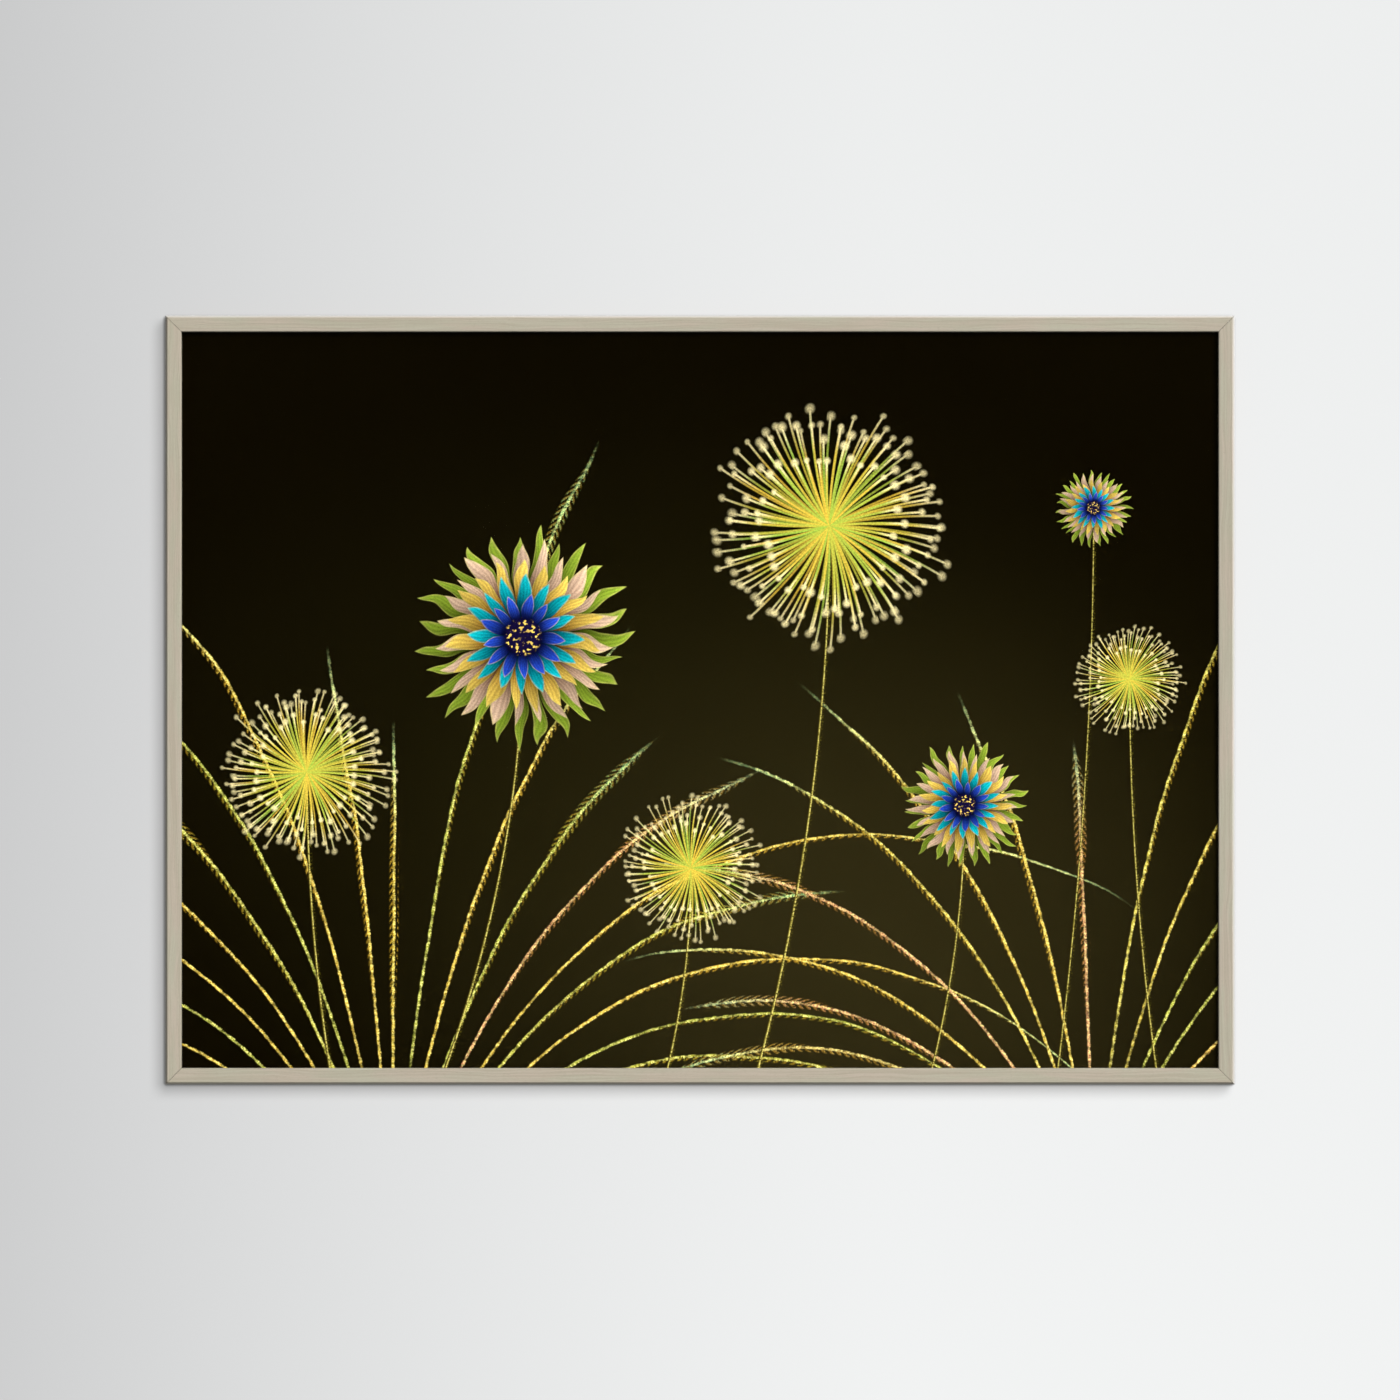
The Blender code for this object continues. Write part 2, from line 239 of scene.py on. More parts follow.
def oak_finish():
    """Straight grain, drawn out along the board. Its scales are in cycles a millimetre."""
    oak = Finish("oiled_oak")
    board = oak.node("Attribute", {"attribute_name": "board"}, out="Vector")
    along, across, deep = oak.split(oak.stretched(board, (MM, MM, MM)))
    drift = oak.noise(oak.joined(along * 0.010, across * 0.05, deep * 0.05), 1.0, 2.0)
    ripple = oak.noise(oak.joined(along * 0.045, across * 0.1, deep * 0.1 + 3), 1.0, 1.0)
    bent = across + deep * 0.35 + drift * 9 + ripple * 1.6
    rings = oak.noise(oak.joined(along * 0.006, bent * 0.9, 0.0), 1.0, 3.0, 0.6)
    streaks = oak.noise(oak.joined(along * 0.035, bent * 2.6, deep * 2.6), 1.0, 3.0, 0.6)
    pores = oak.noise(oak.joined(along * 0.35, across * 7.5, deep * 7.5), 1.0, 1.0)
    flecks = oak.noise(oak.joined(along * 0.22, across * 3.6, deep * 5.0 + 31), 1.0, 1.0)
    cloud = oak.noise(oak.joined(along * 0.02, across * 0.12, deep * 0.12 + 7), 1.0, 2.0)

    porous = pores.step(0.60, 0.70) * streaks.step(0.62, 0.40)
    ground = oak.mix(cloud.step(0.35, 0.65), OAK_PINK, OAK_GREEN)
    ground = oak.mix(rings.step(0.42, 0.60) * RING_SHOW, ground, OAK_DARK)
    ground = oak.mix(streaks.step(0.50, 0.66) * STREAK_SHOW, ground, OAK_DARK)
    ground = oak.mix(flecks.step(0.66, 0.74) * FLECK_SHOW, ground, OAK_PALE)
    ground = oak.mix(porous * PORE_SHOW, ground, OAK_PORE)
    # The bevel is painted paler, as wear and as a painted highlight, and this fades down the side.
    inner_line = (FACE_WIDTH - BEVEL) * MM
    bevel_wear_and_highlight = across.step(inner_line + 0.4, inner_line + 1.0) * deep.step(4.2, 2.8)
    ground = oak.mix(bevel_wear_and_highlight * (0.55 + streaks * 0.35), ground, OAK_PALE)
    oak.surface({"Base Color": ground, "Roughness": 0.62 + streaks * 0.16 - porous * 0.1})
    oak.surface({"Specular IOR Level": 0.2})
    oak.bump(streaks * 0.35 - porous, 0.35, 0.00008)
    return oak.material


def ease(rail, place, radius, segments):
    """Rounds the edges that run along the moulding at this place in its section."""
    here = {v for v in rail.verts if (v.co.yz - Vector(place)).length < SAME_PLACE}
    edges = [edge for edge in rail.edges if here.issuperset(edge.verts)]
    bmesh.ops.bevel(
        rail, geom=edges, offset=radius, segments=segments, profile=0.5, affect="EDGES", material=-1
    )


def rail_solid(length, across):
    """One mitred length of the moulding, lying along X at the top of the frame."""
    outer = across / 2
    sight = outer - FACE_WIDTH
    wall = outer - WALL_THICKNESS
    corners = [(0, outer), (0, sight), (LIP_THICKNESS, sight), (LIP_THICKNESS, wall), (depth, wall)]
    corners.append((depth, outer))
    rail = bmesh.new()
    # Depths are shortened while the front is shaped, and stretched back for a steep bevel.
    start = -(0.5 + OVERLENGTH) * length
    section = [rail.verts.new((start, d / STEEPNESS, z)) for d, z in corners]
    grown = bmesh.ops.extrude_face_region(rail, geom=[rail.faces.new(section)])["geom"]
    far = [item for item in grown if isinstance(item, bmesh.types.BMVert)]
    bmesh.ops.translate(rail, vec=(-2 * start, 0, 0), verts=far)
    ease(rail, (0, outer), BEVEL, 1)
    ease(rail, (0, outer - BEVEL), FACE_EASING, 8)
    ease(rail, (BEVEL, outer), SIDE_EASING, 4)
    ease(rail, (0, sight), SIGHT_ARRIS, 8)
    bmesh.ops.scale(rail, vec=(1, STEEPNESS, 1), verts=rail.verts)
    ease(rail, (depth, outer), BACK_EASING, 3)
    ease(rail, (depth, wall), BACK_EASING, 3)
    for end in (-1, 1):
        normal = Vector((end, 0, -1)).normalized()
        corner = Vector((end * length / 2, 0, outer)) - normal * HAIRLINE / 2
        everything = [*rail.verts, *rail.edges, *rail.faces]
        cut = bmesh.ops.bisect_plane(
            rail, geom=everything, plane_co=corner, plane_no=normal, clear_outer=True
        )
        rim = [item for item in cut["geom_cut"] if isinstance(item, bmesh.types.BMEdge)]
        bmesh.ops.edgeloop_fill(rail, edges=rim)
    bmesh.ops.recalc_face_normals(rail, faces=rail.faces)
    return rail


def cut_out(mesh, cutter):
    """The mesh with the cutter's boxes taken out of it."""
    solid = bpy.data.objects.new("solid", mesh)
    boxes = bpy.data.objects.new("boxes", cutter)
    for helper in (solid, boxes):
        bpy.context.scene.collection.objects.link(helper)
    boolean = solid.modifiers.new("slots", "BOOLEAN")
    boolean.operation = "DIFFERENCE"
    boolean.solver = "EXACT"
    boolean.object = boxes
    graph = bpy.context.evaluated_depsgraph_get()
    result = bpy.data.meshes.new_from_object(solid.evaluated_get(graph))
    for helper in (solid, boxes):
        bpy.data.objects.remove(helper)
    return result


def slot_boxes(side):
    """A box round the part of each tab that is in the wood."""
    boxes = bmesh.new()
    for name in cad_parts:
        if name.startswith(f"tab_{side}_"):
            low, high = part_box(name)
            size = high - low + Vector((1, 1, 1)) * 2 * SLOT_CLEARANCE
            place = Matrix.Translation((low + high) / 2) @ Matrix.Diagonal((*size, 1))
            bmesh.ops.create_cube(boxes, size=1, matrix=place)
    mesh = bpy.data.meshes.new("slots_" + side)
    boxes.to_mesh(mesh)
    boxes.free()
    return mesh


MAP_LENGTH = 0.97  # the share of the map's width that the rail's length takes
MAP_ENDS_FROM = 0.98  # the ends of the rail and of its slots lie beyond this
MAP_ENDS_SCALE = 0.4  # in shares of the map for a metre
MAP_MARGIN = 0.0005  # keeps the last strip off the edge of the map


def map_rail(mesh, length, outer, turned_back, offset):
    """Gives the rail its place in the board it was cut from, and lays its sides out as strips."""
    board = mesh.attributes.new("board", "FLOAT_VECTOR", "POINT")
    for vertex in mesh.vertices:
        x, d, z = turned_back @ vertex.co
        board.data[vertex.index].vector = (x + offset, z - outer + FACE_WIDTH, d)
    strips = mesh.uv_layers.new(name="OFBake")
    total = 2 * FACE_WIDTH + 2 * depth
    turn = turned_back.to_3x3()
    for face in mesh.polygons:
        normal = turn @ face.normal
        centre = turned_back @ face.center
        for loop in face.loop_indices:
            x, d, z = turned_back @ mesh.vertices[mesh.loops[loop].vertex_index].co
            along = MAP_LENGTH * (x / length + 0.5)
            inward = outer - z
            if abs(normal.x) > END_FROM:
                along = MAP_ENDS_FROM + MAP_ENDS_SCALE * inward
                run = d + (depth if normal.x > 0 else 0)
            elif abs(normal.y) < abs(normal.z):
                run = d if normal.z > 0 else depth + FACE_WIDTH + d
            elif normal.y < 0:
                run = depth + inward
            else:
                behind_lip = centre.y < LIP_THICKNESS * 1.5
                run = 2 * depth + FACE_WIDTH + inward - (MAP_MARGIN if behind_lip else 0)
            strips.data[loop].uv = (along, run / total)


oak = oak_finish()
width, height = cad_high.x - cad_low.x, cad_high.z - cad_low.z
for number, (side, degrees) in enumerate(sides.items()):
    length, across = (width, height) if side in ("top", "bottom") else (height, width)
    solid = rail_solid(length, across)
    place = Matrix.Translation((middle.x, cad_low.y, middle.z)) @ Matrix.Rotation(
        math.radians(degrees), 4, "Y"
    )
    bmesh.ops.transform(solid, matrix=place, verts=solid.verts)
    mesh = bpy.data.meshes.new("oak_" + side)
    solid.to_mesh(mesh)
    solid.free()
    mesh = cut_out(mesh, slot_boxes(side))
    map_rail(mesh, length, across / 2, place.inverted(), OFFCUT * number)
    # The flat faces are marked after the sharp edges, because that call makes every face smooth.
    mesh.set_sharp_from_angle(angle=SHARP_FROM)
    steep = Vector((0, -1, STEEPNESS)).normalized()
    for face in mesh.polygons:
        normal = place.inverted().to_3x3() @ face.normal
        level = max(normal.dot(steep), *(abs(part) for part in normal)) > LEVEL_FROM
        an_end = abs(normal.x) > END_FROM
        face.use_smooth = not level and not an_end
    mesh.materials.clear()
    mesh.materials.append(oak)
    rail = bpy.data.objects.new("oak_" + side, mesh)
    bpy.context.scene.collection.objects.link(rail)
    rail.visible_diffuse = False  # or the oak's bounced light makes a halo on the wall
    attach(rail, "root")
    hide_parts("rail_" + side)


# ---- The glass -------------------------------------------------------------------------------
# A sheet of clear 2 mm float glass, cut to the rabbet and dropped in behind the lip. It is clean,
# with the faintest unevenness from handling.

REFLECTIVITY = 0.25  # half of plain glass's
HAZE_ROUGHNESS = 0.012


def glass_finish():
    glass = Finish("clear_glass")
    place = glass.node("TexCoord", out="Object")
    haze = glass.noise(place, 14.0, 3.0)
    glass.surface({"Base Color": (1, 1, 1, 1), "Transmission Weight": 1.0, "IOR": 1.5})
    glass.surface({"Specular IOR Level": REFLECTIVITY})
    glass.surface({"Roughness": haze.step(0.45, 0.8) * HAZE_ROUGHNESS})
    return glass.material


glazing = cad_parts["glazing"]
glazing.data.materials.clear()
glazing.data.materials.append(glass_finish())
glazing.visible_shadow = False  # or the print lies in the dark, as if the sheet were opaque


# ---- The print -------------------------------------------------------------------------------
# Satin photographic paper, printed to its edges: flowers, seed heads and fine grasses at night, in
# gold, green, bronze, turquoise and blue on a warm near-black. Measures here are in millimetres
# from the picture's middle, or in radii of a flower or seed head.

GROUND_DARK = srgb(9, 6, 1)
GROUND_MIDDLE = srgb(20, 17, 4)
GROUND_GLOW = srgb(38, 33, 14)
NOWHERE = 99.0  # a place that is in no flower, seed head or stem


def polar(dx, dz):
    """How far a point is from the middle, and its direction, as a share of a full turn."""
    distance = (dx * dx + dz * dz) ** 0.5
    return distance, dz.math("ARCTAN2", dz, dx) / math.tau + 0.5


def luck(art, number, seed):
    """Three random numbers for each whole number."""
    settings = {"noise_dimensions": "1D"}
    return art.split(art.node("TexWhiteNoise", settings, {"W": number + seed}, out="Color"))


# Tufts of plumed grass: root, blades, droop, reach, how far they sway, and a seed.
TUFTS = [
    ((-205.0, -345.0), 33, 4.6e-6, 600.0, 0.010, 73.0),
    ((262.0, -330.0), 25, 5.6e-6, 520.0, -0.008, 131.0),
]
BLADE_LIGHT = srgb(255, 244, 150)
BLADE_GOLD = srgb(208, 172, 58)
BLADE_GREEN = srgb(150, 156, 50)
BLADE_BRONZE = srgb(196, 136, 96)
BLADE_TIP = srgb(92, 178, 136)
BLADE_DARK = srgb(34, 25, 4)
FRINGE_BROWN = srgb(128, 96, 24)


def grass(art, under, x, z, grit, wave, glint):
    """Blades that arch from a root, with a glinting rib and hairs below it. Some are plumed."""
    picture = under
    for (root_x, root_z), count, droop, reach, sway, seed in TUFTS:
        distance, turn = polar(x - root_x, z - root_z)
        arch = 1 + distance * distance * droop
        ray = ((turn - 0.75) * 2 / arch + 0.5 + wave * sway) * count
        blade = ray.floor()
        chance, shade, tone = luck(art, blade, seed)
        off = (ray - blade - 0.5 + (chance - 0.5) * 0.4) * distance * arch * (math.pi / count)
        below = off * ((ray > count / 2) * 2 - 1)
        along = distance / (reach * (0.52 + shade * 0.48))
        plume = along.step(0.66, 0.78) * along.step(1.02, 0.90) * (tone > 0.55)
        wide = along.step(0.2, 0.6) * along.step(1.0, 0.8) * 3.4 + 0.2
        hairs = (distance * 1.3 + abs(below) * 1.7 + grit * 7).sine().step(-0.5, 0.9)
        fringe = below.step(-0.3, 0.3) * (wide - below).step(0.0, 1.4)
        fringe = fringe.most((plume * 4.6 - abs(below)).step(0.0, 1.6))
        fringe = fringe * hairs * grit.step(0.28, 0.52)
        rib = abs(off + (grit - 0.5) * 1.3).step(0.95 + glint * 0.45, 0.2 + glint * 0.3)
        rib = rib * along.step(1.0, 0.9)
        colour = art.mix(tone.step(0.25, 0.75), BLADE_GOLD, BLADE_GREEN)
        colour = art.mix((shade * 7).fract().step(0.80, 0.84), colour, BLADE_BRONZE)
        colour = art.mix(along.step(0.72, 1.0) * 0.75, colour, BLADE_TIP)
        bright = grit.step(0.46, 0.62)
        bristle = art.mix(bright * 0.75, FRINGE_BROWN, colour)
        colour = art.mix(grit.step(0.30, 0.44), BLADE_DARK, colour)
        colour = art.mix(bright * 0.8, colour, BLADE_LIGHT)
        colour = art.tint(colour, 0.42 + glint * 0.74)
        picture = art.mix(fringe * 0.85, picture, bristle)
        picture = art.mix(rib * along.step(0.05, 0.3), picture, colour)
    return picture


# Flowers and seed heads: middle, radius, and where the stem leaves the bottom of the picture.
FLOWERS = [(-118, 42, 78, -176), (176, -70, 46, 150), (262, 128, 28, 236)]
SEED_HEADS = [(86, 116, 84, 34), (-262, -48, 60, -244), (-6, -112, 50, -26), (286, 14, 38, 306)]
STEM_FOOT = -262.0
STEM_LIGHT = srgb(232, 218, 126)
STEM_MIDDLE = srgb(140, 128, 44)
STEM_DARK = srgb(34, 26, 6)


def stems(art, under, x, z, grit):
    """A bowed stem for every flower and seed head, lit from the right and finely haired."""
    found = (NOWHERE, 1.0, 0.0)
    terms = art.joined(x, z, z * z)
    for middle_x, middle_z, radius, foot in FLOWERS + SEED_HEADS:
        bow = (foot - middle_x) / (middle_z - STEM_FOOT) ** 2
        bend = {0: terms, 1: (1.0, 2 * bow * middle_z, -bow)}
        off = art.node("VectorMath", {"operation": "DOT_PRODUCT"}, bend, out="Value")
        off = off - (middle_x + bow * middle_z**2)
        near = (abs(off) < 5.0) * (z < middle_z)
        found = art.chosen(near, found, art.joined(off, 0.38 + radius / 190, 0.0))
    off, width, _ = art.split(found)
    width = width * (0.86 - z * 0.0012)
    round_off = off / width
    colour = art.mix(round_off.step(-1.1, 0.4) * grit.step(0.30, 0.56), STEM_DARK, STEM_MIDDLE)
    glint = abs(round_off - 0.5).step(0.55, 0.15) * grit.step(0.40, 0.60)
    colour = art.mix(glint, colour, STEM_LIGHT)
    cover = abs(off).step(width + 0.4, width - 0.3)
    hair = abs(off).step(width + 2.4, width) * grit.step(0.53, 0.62) * 0.6
    return art.mix(cover.most(hair), under, colour)


def nearest(art, spot, motifs):
    """Where a point lies in the motif that it is in, in radii, and that motif's number."""
    found = (NOWHERE, NOWHERE, 0.0)
    for number, (middle_x, middle_z, radius, _) in enumerate(motifs):
        share = 1 / radius
        sockets = {0: spot, 1: (share, share, 0), 2: (-middle_x * share, -middle_z * share, number)}
        here = art.node("VectorMath", {"operation": "MULTIPLY_ADD"}, sockets)
        sockets = {0: spot, 1: (middle_x, middle_z, 0)}
        away = art.node("VectorMath", {"operation": "DISTANCE"}, sockets, out="Value")
        found = art.chosen(away < 1.4 * radius, found, here)
    return art.split(found)


# Rings of rays from the longest in: how many, how far they reach, and how strongly they show.
SEED_RINGS = [(61, 1.0, 0.5), (47, 0.88, 0.75), (37, 0.66, 1.0)]
SEED_GOLD = srgb(214, 176, 62)
SEED_GREEN = srgb(146, 178, 66)
SEED_PALE = srgb(240, 224, 164)


def seed_head(art, under, spot, grit):
    """Round seed heads: fine rays with a bright tuft at the end of each."""
    u, v, number = nearest(art, spot, SEED_HEADS)
    distance, turn = polar(u, v)
    turn = turn + number * 0.21 + distance * 0.02
    picture = under
    for layer, (count, reach, weight) in enumerate(SEED_RINGS):
        ray = (turn + layer * 0.41).fract() * count
        spoke = ray.floor()
        chance, shade, tone = luck(art, spoke + number * 60, layer * 53.3)
        off = abs(ray - spoke - 0.5 + (chance - 0.5) * 0.5) * distance * (math.tau / count)
        end = reach * (0.76 + shade * 0.24)
        stalk = off.step(0.012, 0.003) * (end - distance).step(0.0, 0.01)
        tuft_off = ((off * off) + (distance - end) * (distance - end)) ** 0.5
        tuft = tuft_off.step(0.030 + tone * 0.022, 0.008) * (0.2 + grit * 1.2)
        colour = art.mix(tone, SEED_GOLD, SEED_GREEN)
        colour = art.mix((distance / end).step(0.70, 1.0), colour, SEED_PALE)
        colour = art.tint(colour, 0.45 + grit * 1.1)
        picture = art.mix((stalk * (0.5 + grit)).most(tuft) * weight, picture, colour)
    return picture


# Rows of petals from the outermost in: how many, how far they reach, and heart and tip colours.
PETAL_ROWS = [
    (27, 1.00, srgb(30, 34, 4), srgb(150, 178, 52)),
    (23, 0.87, srgb(92, 50, 22), srgb(228, 194, 164)),
    (19, 0.72, srgb(122, 74, 18), srgb(240, 206, 92)),
    (16, 0.56, srgb(0, 58, 84), srgb(18, 196, 204)),
    (13, 0.40, srgb(12, 14, 64), srgb(44, 84, 214)),
]
PETAL_RIM = srgb(226, 212, 120)
EYE_DARK = srgb(16, 10, 44)
EYE_GOLD = srgb(240, 204, 96)


def flower(art, under, spot, grit):
    """Flowers with rows of petals, each row paler at its tips and lying over the row outside it."""
    u, v, number = nearest(art, spot, FLOWERS)
    distance, turn = polar(u, v)
    wander = (art.noise(art.joined(u, v, number * 5), 2.2, 1.0) - 0.5) * 0.06
    sun = 0.98 + (u + v) * 0.17
    picture = under
    for row, (count, reach, heart, tip) in enumerate(PETAL_ROWS):
        ray = (turn + wander + row * 0.137).fract() * count
        petal = ray.floor()
        chance, shade, lean = luck(art, petal + number * 40, row * 91.7)
        side = (ray - petal - 0.5 + (lean - 0.5) * 0.2 * distance) * 2
        far = distance / (reach * (0.86 + chance * 0.14))
        left = 1 - (far - 0.42).most(0.0) ** 2.0 / 0.3364
        inside = left - abs(side)
        veins = (side * 19 + far * 2).sine() * 0.14 + 0.86
        fold = 0.62 + (1 - abs(side + 0.25)) * 0.42
        light = fold * veins * (0.40 + grit * 0.95) * (0.72 + shade * 0.4) * sun
        colour = art.mix(far.step(0.36, 0.98), heart, tip)
        rim = inside.step(0.22, 0.02) * far.step(0.5, 0.8) * 0.5
        colour = art.mix(rim, colour, PETAL_RIM)
        colour = art.tint(colour, light * far.step(0.18, 0.64))
        picture = art.mix(inside.step(0.0, 0.08), picture, colour)
    eye = distance.step(0.17, 0.13)
    stamens = art.noise(art.joined(u, v, 3.0), 30.0, 1.0).step(0.55, 0.66)
    return art.mix(eye, picture, art.mix(stamens * distance.step(0.0, 0.12), EYE_DARK, EYE_GOLD))


def print_finish():
    art = Finish("night_garden_print")
    x, _, z = art.split(art.node("TexCoord", out="Object"))
    x, z = (x - middle.x) * MM, (z - middle.z) * MM
    spot = art.joined(x, z, 0.0)
    grit = art.noise(spot, 0.80, 2.0, 0.7)
    wave = art.noise(art.joined(x, z, 4.0), 0.008, 1.0)
    glint = art.noise(spot, 0.21, 2.0, 0.6).step(0.36, 0.62)
    haze = polar(x * 0.6, z + 60)[0].step(300.0, 40.0)
    glow = polar((x - 110) * 0.8, z + 170)[0].step(300.0, 0.0)
    picture = art.mix(glow, art.mix(haze, GROUND_DARK, GROUND_MIDDLE), GROUND_GLOW)
    picture = grass(art, picture, x, z, grit, wave, glint)
    picture = stems(art, picture, x, z, grit)
    picture = seed_head(art, picture, spot, grit)
    picture = flower(art, picture, spot, grit)
    art.surface({"Base Color": picture, "Roughness": 0.5, "Specular IOR Level": 0.0})
    return art.material


MAP_FRONT_FROM = 0.04  # the front takes all of the map above this
MAP_BACK = (0.3, 0.03)  # the size on the map of the plain back
MAP_EDGES_FROM = (0.4, 0.01)  # the four thin edges lie together from here on
MAP_EDGES = (0.1, 0.02)
MAP_EDGE_WIDTH = 0.01


def print_sheet():
    """The sheet, whose front takes nearly all of the map that its colours are baked to."""
    low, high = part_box("print_sheet")
    sheet = bmesh.new()
    place = Matrix.Translation((low + high) / 2) @ Matrix.Diagonal((*(high - low), 1))
    bmesh.ops.create_cube(sheet, size=1, matrix=place)
    bmesh.ops.recalc_face_normals(sheet, faces=sheet.faces)
    layer = sheet.loops.layers.uv.new("OFBake")
    for face in sheet.faces:
        for loop in face.loops:
            across = (loop.vert.co.x - low.x) / (high.x - low.x)
            up = (loop.vert.co.z - low.z) / (high.z - low.z)
            back = (loop.vert.co.y - low.y) / (high.y - low.y)
            if face.normal.y < -0.5:
                spot = (across, MAP_FRONT_FROM + (1 - MAP_FRONT_FROM) * up)
            elif face.normal.y > 0.5:
                spot = (MAP_BACK[0] * across, MAP_BACK[1] * up)
            else:
                run = MAP_EDGES[0] * across + MAP_EDGE_WIDTH * back
                spot = (MAP_EDGES_FROM[0] + run, MAP_EDGES_FROM[1] + MAP_EDGES[1] * up)
            loop[layer].uv = spot
    mesh = bpy.data.meshes.new("print")
    sheet.to_mesh(mesh)
    sheet.free()
    mesh.materials.append(print_finish())
    return mesh


picture_sheet = bpy.data.objects.new("print", print_sheet())
bpy.context.scene.collection.objects.link(picture_sheet)
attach(picture_sheet, "root")
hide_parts("print_sheet")


# ---- The backing board -----------------------------------------------------------------------
# Brown hardboard, 3 mm thick, smooth on both sides: pressed wood fibre with darker flecks, holed
# for the hangers' rivets.

BOARD_PALE = srgb(150, 112, 78)
BOARD_BROWN = srgb(138, 100, 68)
FIBRE_BROWN = srgb(112, 78, 50)
SHIVE_DARK = srgb(82, 54, 34)


def board_finish():
    board = Finish("pressed_fibre")
    place = board.stretched(board.node("TexCoord", out="Object"), (MM, MM, MM))
    cloud = board.noise(place, 0.012, 3.0)
    fibre = board.noise(board.stretched(place, (1.0, 1.0, 0.35)), 1.1, 4.0, 0.7)
    shives = board.noise(board.stretched(place, (0.3, 1.0, 1.2)), 0.9, 2.0).step(0.66, 0.74)
    colour = board.mix(cloud.step(0.3, 0.7), BOARD_PALE, BOARD_BROWN)
    colour = board.mix(fibre.step(0.35, 0.7) * 0.5, colour, FIBRE_BROWN)
    colour = board.mix(shives * 0.55, colour, SHIVE_DARK)
    board.surface({"Base Color": colour, "Roughness": 0.62 + fibre * 0.2})
    board.bump(fibre - shives * 0.4, 0.3, 0.0001)
    return board.material


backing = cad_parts["backing_board"]
backing.data.materials.clear()
backing.data.materials.append(board_finish())


# ---- Hangers, rivets and tabs ----------------------------------------------------------------
# Zinc-plated steel: two toothed hangers pressed from strip, four rivets, and the flat points shot
# into the rabbet. The plating is a cool grey with a soft spangle and fine scuffs.

ZINC_PALE = srgb(196, 198, 198)
ZINC_GREY = srgb(172, 170, 160)
SCUFF_GREY = srgb(140, 138, 132)


def zinc_finish():
    zinc = Finish("spangled_zinc")
    place = zinc.stretched(zinc.node("TexCoord", out="Object"), (MM, MM, MM))
    spangle = zinc.noise(place, 0.55, 2.0)
    scuffs = zinc.noise(zinc.stretched(place, (0.6, 1.0, 5.0)), 1.4, 3.0).step(0.55, 0.75)
    colour = zinc.mix(spangle.step(0.3, 0.7), ZINC_PALE, ZINC_GREY)
    colour = zinc.mix(scuffs * 0.4, colour, SCUFF_GREY)
    zinc.surface({"Base Color": colour, "Metallic": 1.0})
    zinc.surface({"Roughness": 0.28 + spangle * 0.14 + scuffs * 0.12})
    zinc.bump(spangle + scuffs * 0.5, 0.15, 0.00005)
    return zinc.material


zinc = zinc_finish()
for name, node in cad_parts.items():
    if name.startswith(("hanger_", "rivet_", "tab_")):
        node.data.materials.clear()
        node.data.materials.append(zinc)


# ---- The studio ------------------------------------------------------------------------------
# A pale wall right behind the picture and a pale floor below it. A soft key light is at the upper
# right, two lamps graze the rails, one lights the print alone, and two light the back. A black card
# in front of the camera, which doesn't see it, keeps the glass clear.

centre = Vector((middle.x, cad_low.y, middle.z))  # of the picture's front
PIXEL = 0.0006653  # metres a pixel of the 1400-pixel view covers, at the picture's face
VIEW_PIXELS = 1400
LENS = 200.0  # this and the sensor are in millimetres
SENSOR = 36.0
WALL_SIZE = (14, 8)
WALL_UP = 2.5  # how high above the origin its middle is
WALL_LIT = (1.02, 1.032, 1.028, 1)
WALL_DIM = (0.720, 0.724, 0.726, 1)
WALL_LIT_FROM = 0.15  # the wall is dimmer to the left of here
WALL_FADE = 0.62  # and dimmest this far to the left of that
WALL_FADE_BEND = 1.4
WALL_RISE = 0.6  # it also dims upwards, from this far below the picture's middle to this far above
WALL_RISE_LOSS = 0.06  # the share of its light that it loses for a metre up
WALL_PAINT = 0.58  # the paint's own colour is this share of its glow's
GLOWING = 0.37  # the share of the wall's light that is its own, which softens the shadows on it
# A painted contact shadow on the wall, a soft dark line all round the frame:
PAINTED_SHADOW_SIZE = (width + 0.0023, height + 0.0013)  # the dark line on the wall, all round the frame
PAINTED_SHADOW_MIDDLE = (middle.x - 0.00065, middle.z - 0.0005)  # it shows most to the left and below
PAINTED_SHADOW_CORNER = 0.002  # the radius of its corners
PAINTED_SHADOW_BLUR = (0.0017, -0.0008)  # it is gone this far outside its size, and full this far inside
PAINTED_SHADOW_DEPTH = 0.62  # the share of the wall's light that it takes
FLOOR_SIZE = (14, 14)
FLOOR_UP = -1.4
FLOOR_COLOUR = (0.80, 0.81, 0.81, 1)
CARD_SIZE = (3.4, 3.0)
CARD_Y = -5
AMBIENT = (0.10, 0.102, 0.105, 1)  # the light from all round
REFLECTED = (0.10, 0.10, 0.10, 1)  # as reflections show it
BACKDROP = (0.80, 0.82, 0.83, 1)  # as the camera sees it past the stage
KEY_OFFSET = (7.8, -24, 7.8)  # a lamp's place from the centre
KEY_SIZE = (14.4, 14.4)
GRAZE_OFFSET = (3.8, -0.12, 3.4)
BACK_KEY_OFFSET = (-0.8, 3.0, 0.9)
BACK_FILL_OFFSET = (1.0, 3.0, 0.2)
BACK_SIZE = (1.4, 1.4)
COOL = (0.78, 0.83, 1.0)


def stage_plane(name, size, place, material):
    """A flat piece of the stage, which faces up until its place turns it."""
    shape = bmesh.new()
    bmesh.ops.create_grid(shape, x_segments=1, y_segments=1, size=0.5)
    bmesh.ops.scale(shape, vec=(*size, 1), verts=shape.verts)
    bmesh.ops.transform(shape, matrix=place, verts=shape.verts)
    mesh = bpy.data.meshes.new(name)
    shape.to_mesh(mesh)
    shape.free()
    mesh.materials.append(material)
    plane = bpy.data.objects.new(name, mesh)
    bpy.context.scene.collection.objects.link(plane)
    return plane


